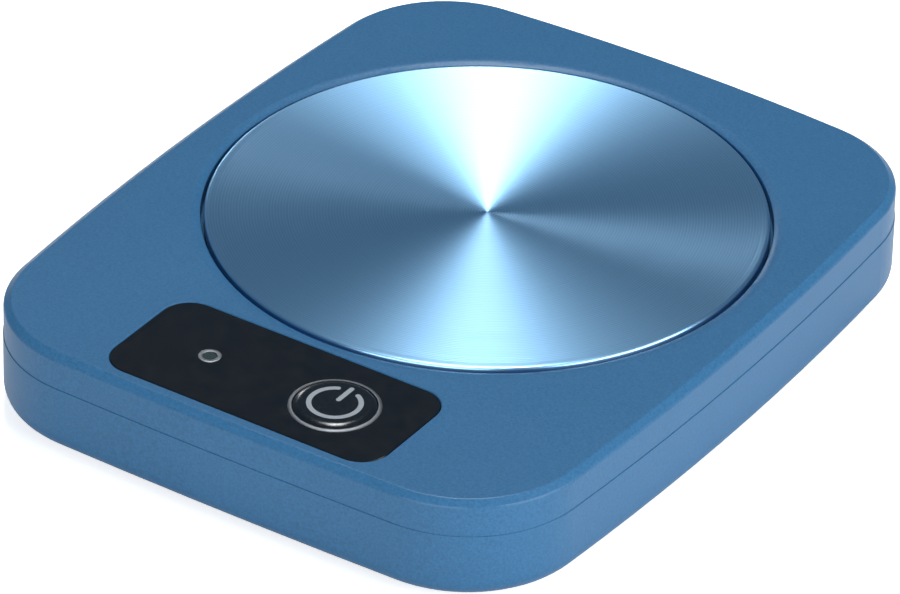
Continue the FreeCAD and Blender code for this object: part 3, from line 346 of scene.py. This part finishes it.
def plate_finish():
    """Spun metal: smooth along the turning marks and rough across them, with uneven fine rings and painted
    shade in its grooves.
    """
    material, tree = new_material("plate_metal")
    centre = add(tree, "ShaderNodeCombineXYZ", {"X": plate_centre[0], "Y": plate_centre[1]}).outputs[0]
    offset = vector_node(tree, "SUBTRACT", position(tree), centre).outputs[0]
    flat = vector_node(tree, "MULTIPLY", offset, (1.0, 1.0, 0.0)).outputs[0]
    radius = vector_node(tree, "LENGTH", flat).outputs["Value"]

    # Colour: uneven marks of the tool, over painted groove shade that is lighter on the crests and darker in
    # the bottoms of the grooves
    wander = add(tree, "ShaderNodeCombineXYZ", {"X": radius}).outputs[0]
    uneven = noise(tree, spin_marks, wander)
    # Painted shade: a wave with the grooves' pitch, light on the crests and dark in the groove bottoms
    turns = math_node(tree, "DIVIDE", math_node(tree, "SUBTRACT", grooved_radius, radius), groove_pitch)
    crest = math_node(tree, "COSINE", math_node(tree, "MULTIPLY", turns, 2 * math.pi))
    marks = ranged(tree, uneven, noise_span, unit_span)
    marks_and_groove_shade = weighted(tree, marks, spin_marks_share, crest, spin_groove_shade_share)
    dark, light = tones(spin_colour, spin_spread)
    marks_and_groove_shade_span = (-spin_groove_shade_share, spin_marks_share + spin_groove_shade_share)
    shade = blend_colours(tree, ranged(tree, marks_and_groove_shade, marks_and_groove_shade_span, unit_span), dark, light)

    # Roughness: more of it towards one side
    outward = vector_node(tree, "NORMALIZE", flat).outputs[0]
    turn = math.radians(spin_coarse_angle)
    towards = (math.cos(turn), math.sin(turn), 0.0)
    coarse = vector_node(tree, "DOT_PRODUCT", outward, towards).outputs["Value"]
    roughness = ranged(tree, coarse, spin_coarse_span, spin_roughness)

    # Normals that lean towards the middle, and a sheen that follows the turning marks
    inward = vector_node(tree, "MULTIPLY", outward, (-spin_tilt,) * 3).outputs[0]
    upright = add(tree, "ShaderNodeNewGeometry").outputs["Normal"]
    leaning = vector_node(tree, "ADD", upright, inward).outputs[0]
    leaning = vector_node(tree, "NORMALIZE", leaning).outputs[0]
    tangent = add(tree, "ShaderNodeTangent", direction_type="RADIAL", axis="Z").outputs[0]
    surface(tree, Base_Color=shade, Metallic=1.0, Roughness=roughness, Anisotropic=spin_anisotropy,
            Anisotropic_Rotation=spin_anisotropy_turn, Tangent=tangent,
            Normal=bump(tree, uneven, groove_depth, 1.0, leaning))
    return material


finishes = {name: plain_finish(name, *values) for name, values in plain_finishes.items()}
finishes["case_blue"] = case_finish()
finishes["plate_metal"] = plate_finish()


def dress_nodes():
    """Gives each CAD node the finish that its material slot names."""
    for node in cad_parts.values():
        for slot in node.material_slots:
            slot.material = finishes[slot.material.name.split(".")[0]]


# Objects and points

def linked(name, data):
    """A new object in the scene, round a mesh, a light or a camera."""
    made = bpy.data.objects.new(name, data)
    bpy.context.scene.collection.objects.link(made)
    return made


def mesh_object(name, vertices, faces):
    mesh = bpy.data.meshes.new(name)
    mesh.from_pydata(vertices, [], faces)
    mesh.update()
    for polygon in mesh.polygons:
        polygon.use_smooth = True
    return linked(name, mesh)


def circle_point(centre, radius, turn):
    return centre[0] + radius * math.cos(turn), centre[1] + radius * math.sin(turn)


def steps(count):
    """Shares from 0 to 1, both included."""
    return [index / count for index in range(count + 1)]


# Turned pieces, which stand for CAD nodes with finer curves

def turned(name, profile, centre, slot, body):
    """A solid of revolution from (radius, height) points that run up its outside and down its inside."""
    vertices, rows = [], []
    for radius, height in profile:
        if radius == 0:
            rows.append([len(vertices)] * turn_segments)
            vertices.append((*centre, height))
            continue
        rows.append(list(range(len(vertices), len(vertices) + turn_segments)))
        for index in range(turn_segments):
            turn = 2 * math.pi * index / turn_segments
            vertices.append((*circle_point(centre, radius, turn), height))
    pairs = list(zip(rows, rows[1:]))
    if profile[0][0] > 0:
        pairs.append((rows[-1], rows[0]))
    faces = []
    for first, second in pairs:
        for index in range(turn_segments):
            following = (index + 1) % turn_segments
            corners = (first[index], first[following], second[following], second[index])
            faces.append(tuple(dict.fromkeys(corners)))
    made = mesh_object(name, vertices, faces)
    made.data.set_sharp_from_angle(angle=math.radians(sharp_angle))
    made.data.materials.append(finishes[slot])
    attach(made, body)
    return made


def spun_plate():
    """The plate with its grooves cut as shallow waves, a smooth rim and a rounded edge, and its bosses."""
    low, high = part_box("heating_plate")
    radius, top = reach("heating_plate"), high[2]
    under = top - plate_thickness
    profile = [(0.0, under), (radius, under)]
    for share in steps(curve_steps):
        turn = math.radians(90 * share)
        profile.append((radius - plate_edge_round * (1 - math.cos(turn)),
                        top - plate_edge_round * (1 - math.sin(turn))))
    groove_count = int(grooved_radius / groove_pitch)
    for index in range(groove_count * groove_steps):
        turns = index / groove_steps
        dip = groove_depth * (1 - math.cos(2 * math.pi * turns)) / 2
        profile.append((grooved_radius - turns * groove_pitch, top - dip))
    profile.append((0.0, top))
    plate = turned("spun_plate", profile, plate_centre, "plate_metal", "case")
    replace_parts(plate, "heating_plate")
    for index, angle in enumerate(boss_angles):
        place = circle_point(plate_centre, boss_circle, math.radians(angle))
        boss = [(boss_radius, low[2]), (boss_radius, under), (boss_bore, under), (boss_bore, low[2])]
        made = turned(f"plate_boss_{index}", boss, place, "plate_metal", "case")
        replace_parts(made, "heating_plate")


def trim_ring(name, node, line, rim, crest):
    """A trim ring: a low line, rounded on both sides of its crest, above the sleeve that holds it."""
    low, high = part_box(node)
    outer = reach(node)
    bore = outer - line
    rise = high[2] - panel_top - rim
    sleeve = bore + trim_sleeve
    profile = [(bore, low[2]), (sleeve, low[2]), (sleeve, panel_top), (outer, panel_top)]
    for share in steps(curve_steps):
        away = (crest - share) / max(crest, 1 - crest)
        profile.append((outer - line * share, panel_top + rim + rise * (1 - away ** 2)))
    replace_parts(turned(name, profile, middle(node), "silver_trim", "case"), node)


def button_cap():
    """The cap: a flat top, a skirt that curves down from it, and the flange and stem inside the case."""
    low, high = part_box("power_button")
    radius = reach("button_ring") - button_line - button_clearance
    inner = radius - cap_side_wall
    top = high[2]
    hollow = top - cap_top_thickness
    flange_high = panel_top - cap_flange_drop
    flange_low = flange_high - cap_flange_thickness
    run = radius - cap_plateau_radius
    drop = top - panel_top - cap_skirt_rise
    bend = (run ** 2 + drop ** 2) / (2 * drop)
    profile = [(0.0, low[2]), (cap_stem_radius, low[2]), (cap_stem_radius, hollow), (inner, hollow),
               (inner, flange_low), (reach("power_button"), flange_low), (reach("power_button"), flange_high),
               (radius, flange_high)]
    for share in steps(curve_steps):
        out = run * (1 - share)
        profile.append((cap_plateau_radius + out, top - bend + math.sqrt(bend ** 2 - out ** 2)))
    profile.append((0.0, top))
    cap = turned("button_cap", profile, middle("button_ring"), "button_black", "button")
    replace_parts(cap, "power_button")


def clear_lens():
    """The indicator's lens, with its flange and foot inside the case."""
    low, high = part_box("indicator_lens")
    radius = reach("indicator_ring") - indicator_line - lens_clearance
    flange_high = panel_top - lens_flange_drop
    flange_low = flange_high - lens_flange_thickness
    profile = [(0.0, low[2]), (lens_foot_radius, low[2]), (lens_foot_radius, flange_low),
               (reach("indicator_lens"), flange_low), (reach("indicator_lens"), flange_high),
               (radius, flange_high), (radius, high[2]), (0.0, high[2])]
    lens = turned("clear_lens", profile, middle("indicator_ring"), "lens_smoke", "case")
    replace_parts(lens, "indicator_lens")


# Studio

def floor_material():
    """White that keeps the shadow, and glows only where the camera sees it, also through clear parts."""
    material, tree = new_material("studio_floor")
    path = add(tree, "ShaderNodeLightPath")
    seen = math_node(tree, "MAXIMUM", path.outputs["Is Camera Ray"], path.outputs["Is Transmission Ray"])
    matte = add(tree, "ShaderNodeBsdfDiffuse", {"Color": (floor_albedo,) * 3 + (1.0,)})
    glow = add(tree, "ShaderNodeEmission", {"Strength": math_node(tree, "MULTIPLY", seen, floor_glow)})
    both = add(tree, "ShaderNodeAddShader", {0: matte.outputs[0], 1: glow.outputs[0]})
    output = add(tree, "ShaderNodeOutputMaterial")
    tree.links.new(both.outputs[0], output.inputs["Surface"])
    return material


def studio_floor():
    rings = [(floor_radius * share, 0.0) for share in floor_rings]
    for step in range(1, cove_rings + 1):
        turn = math.radians(90 * step / cove_rings)
        rings.append((floor_radius + cove_radius * math.sin(turn), cove_radius * (1 - math.cos(turn))))
    vertices = [(0.0, 0.0, -floor_drop)]
    for radius, height in rings:
        for index in range(floor_segments):
            turn = 2 * math.pi * index / floor_segments
            vertices.append((*circle_point((0.0, 0.0), radius, turn), height - floor_drop))
    faces = []
    for index in range(floor_segments):
        faces.append((0, 1 + index, 1 + (index + 1) % floor_segments))
    for ring in range(len(rings) - 1):
        low = 1 + ring * floor_segments
        high = low + floor_segments
        for index in range(floor_segments):
            following = (index + 1) % floor_segments
            faces.append((low + index, high + index, high + following, low + following))
    floor = mesh_object("studio_floor", vertices, faces)
    floor.data.materials.append(floor_material())


def aim(made, offset, right, up, back):
    """Puts a lamp or the camera at an offset from the deck's middle, looking away from back."""
    place = Vector((0.0, 0.0, deck_height)) + offset
    made.matrix_world = Matrix.Translation(place) @ Matrix((right, up, back)).transposed().to_4x4()


def studio_lamps():
    for name, (angle, height, distance, width, length, strength) in lamps.items():
        data = bpy.data.lights.new(name, "AREA")
        data.shape = "RECTANGLE"
        data.size, data.size_y = width, length
        data.energy = strength * math.pi * width * length
        turn, rise = math.radians(angle), math.radians(height)
        out = Vector((math.cos(turn) * math.cos(rise), math.sin(turn) * math.cos(rise), math.sin(rise)))
        side = Vector((-math.sin(turn), math.cos(turn), 0.0))
        aim(linked(name, data), out * distance, side, out.cross(side), out)


def studio_world():
    world = bpy.data.worlds.new("studio_world")
    world.use_nodes = True
    world.node_tree.nodes.clear()
    colour = (*world_colour, 1.0)
    sky = add(world.node_tree, "ShaderNodeBackground", {"Color": colour, "Strength": world_level})
    output = add(world.node_tree, "ShaderNodeOutputWorld")
    world.node_tree.links.new(sky.outputs[0], output.inputs["Surface"])
    bpy.context.scene.world = world


def photo_camera():
    turn, rise, roll = (math.radians(value) for value in (camera_azimuth, camera_elevation, camera_roll))
    back = Vector((math.sin(turn) * math.cos(rise), -math.cos(turn) * math.cos(rise), math.sin(rise)))
    level = Vector((math.cos(turn), math.sin(turn), 0.0))
    upward = back.cross(level)
    right = level * math.cos(roll) + upward * math.sin(roll)
    up = upward * math.cos(roll) - level * math.sin(roll)
    data = bpy.data.cameras.new("photo_camera")
    data.lens = camera_lens
    data.sensor_width = sensor_width
    data.clip_start, data.clip_end = camera_clip
    camera = linked("photo_camera", data)
    offset = back * camera_distance + right * camera_aim_side + up * camera_aim_up
    aim(camera, offset, right, up, back)
    bpy.context.scene.camera = camera


photo_camera()
dress_nodes()
spun_plate()
trim_ring("button_trim", "button_ring", button_line, button_rim, button_crest)
trim_ring("indicator_trim", "indicator_ring", indicator_line, indicator_rim, indicator_crest)
button_cap()
clear_lens()
studio_floor()
studio_lamps()
studio_world()
bpy.context.scene.view_settings.view_transform = "Standard"
